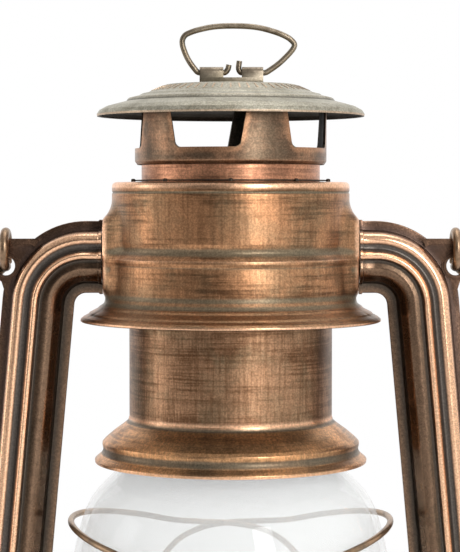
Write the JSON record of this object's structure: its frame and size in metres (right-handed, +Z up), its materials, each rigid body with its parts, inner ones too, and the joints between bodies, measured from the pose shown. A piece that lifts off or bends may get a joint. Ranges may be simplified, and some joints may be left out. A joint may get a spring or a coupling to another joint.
{
  "type": "hurricane lantern",
  "caption": "Cold-blast hurricane lantern with side air tubes, a glass globe in crossing guard wires, a lifting chimney with a finger ring, and a carrying bail.",
  "frame": {"origin": "middle of the foot ring on the ground", "axes": "+Z up, +X to the viewer's right towards the lever's tube, -Y to the front"},
  "size_m": [0.1526, 0.1194, 0.2805],
  "materials": {
    "aged_brown": "aged bronze, brushed",
    "aged_copper": "worn antique copper",
    "olive_patina": "pale olive patina",
    "guard_steel": "darkened wire",
    "burner_brass": "dull brass",
    "clear_glass": "clear, glossy",
    "wick_cotton": "woven cotton",
    "seal_rubber": "matt"
  },
  "bodies": {
    "frame": {"tank_base": "aged_brown", "tank_shell": "aged_brown", "filler_neck": "aged_brown", "burner_collar": "aged_brown", "air_chamber": "aged_brown", "air_chamber_collar_left": "aged_brown", "air_chamber_collar_right": "aged_brown", "burner_base": "burner_brass", "burner_cone": "burner_brass", "wick_tube": "burner_brass", "canopy": "aged_copper", "canopy_collar_left": "aged_copper", "canopy_collar_right": "aged_copper", "chimney_guide": "aged_brown", "chimney_spring": "guard_steel", "tube_left_front": "aged_brown", "tube_left_back": "aged_brown", "tube_right_front": "aged_brown", "tube_right_back": "aged_brown", "lever_bracket": "aged_brown"},
    "globe_lever": {"lift_lever": "aged_copper"},
    "globe_cradle": {"globe_plate": "aged_brown", "globe": "clear_glass", "guard_wire_left": "guard_steel", "guard_wire_right": "guard_steel"},
    "chimney": {"globe_cap_plate": "aged_copper", "flue_cylinder": "aged_copper", "neck_tube": "aged_copper", "window_band": "olive_patina", "hood": "olive_patina", "ring_bracket": "olive_patina"},
    "finger_ring": {"lift_ring": "olive_patina"},
    "handle": {"bail": "aged_copper"},
    "wick_winder": {"wick_spindle": "burner_brass", "wick_knob": "aged_copper"},
    "wick_slide": {"wick": "wick_cotton"},
    "filler_seal": {"filler_gasket": "seal_rubber"},
    "screw_cap": {"filler_cap": "aged_copper"}
  },
  "joints": [
    {"name": "globe_lever_turn", "type": "hinge", "parent": "frame", "child": "globe_lever", "pos_m": [0.04573, 0, 0.07], "axis": [0, 1, 0], "range_deg": [0, 30.1]},
    {"name": "globe_cradle_lift", "type": "slide", "parent": "frame", "child": "globe_cradle", "axis": [0, 0, 1], "range_m": [0, 0.006]},
    {"name": "chimney_lift", "type": "slide", "parent": "globe_cradle", "child": "chimney", "axis": [0, 0, 1], "range_m": [0, 0.012], "stiffness_N_per_m": 60, "springref_m": -0.02, "deforming": ["chimney_spring"]},
    {"name": "finger_ring_swing", "type": "hinge", "parent": "chimney", "child": "finger_ring", "pos_m": [0, 0, 0.2663], "axis": [1, 0, 0], "range_deg": [-90, 90]},
    {"name": "handle_swing", "type": "hinge", "parent": "frame", "child": "handle", "pos_m": [0, 0, 0.21565], "axis": [1, 0, 0], "range_deg": [0, 304]},
    {"name": "wick_knob_turn", "type": "hinge", "parent": "frame", "child": "wick_winder", "pos_m": [0.0046, -0.04, 0.054], "axis": [0, 1, 0], "range_deg": [-118, 78]},
    {"name": "wick_feed", "type": "slide", "parent": "frame", "child": "wick_slide", "axis": [0, 0, 1], "range_m": [-0.006, 0.004]},
    {"name": "filler_seal_rise", "type": "slide", "parent": "frame", "child": "filler_seal", "axis": [0, 0, 1], "range_m": [0, 0.00151]},
    {"name": "screw_cap_turn", "type": "hinge", "parent": "filler_seal", "child": "screw_cap", "pos_m": [-0.03163, -0.03163, 0.048], "axis": [0, 0, 1], "range_deg": [0, 360]}
  ],
  "couplings": [
    {"joint": "globe_lever_turn", "follows": "globe_cradle_lift", "rad_per_m": 87.266},
    {"joint": "wick_feed", "follows": "wick_knob_turn", "m_per_rad": 0.0029},
    {"joint": "filler_seal_rise", "follows": "screw_cap_turn", "m_per_rad": 0.0002387}
  ]
}
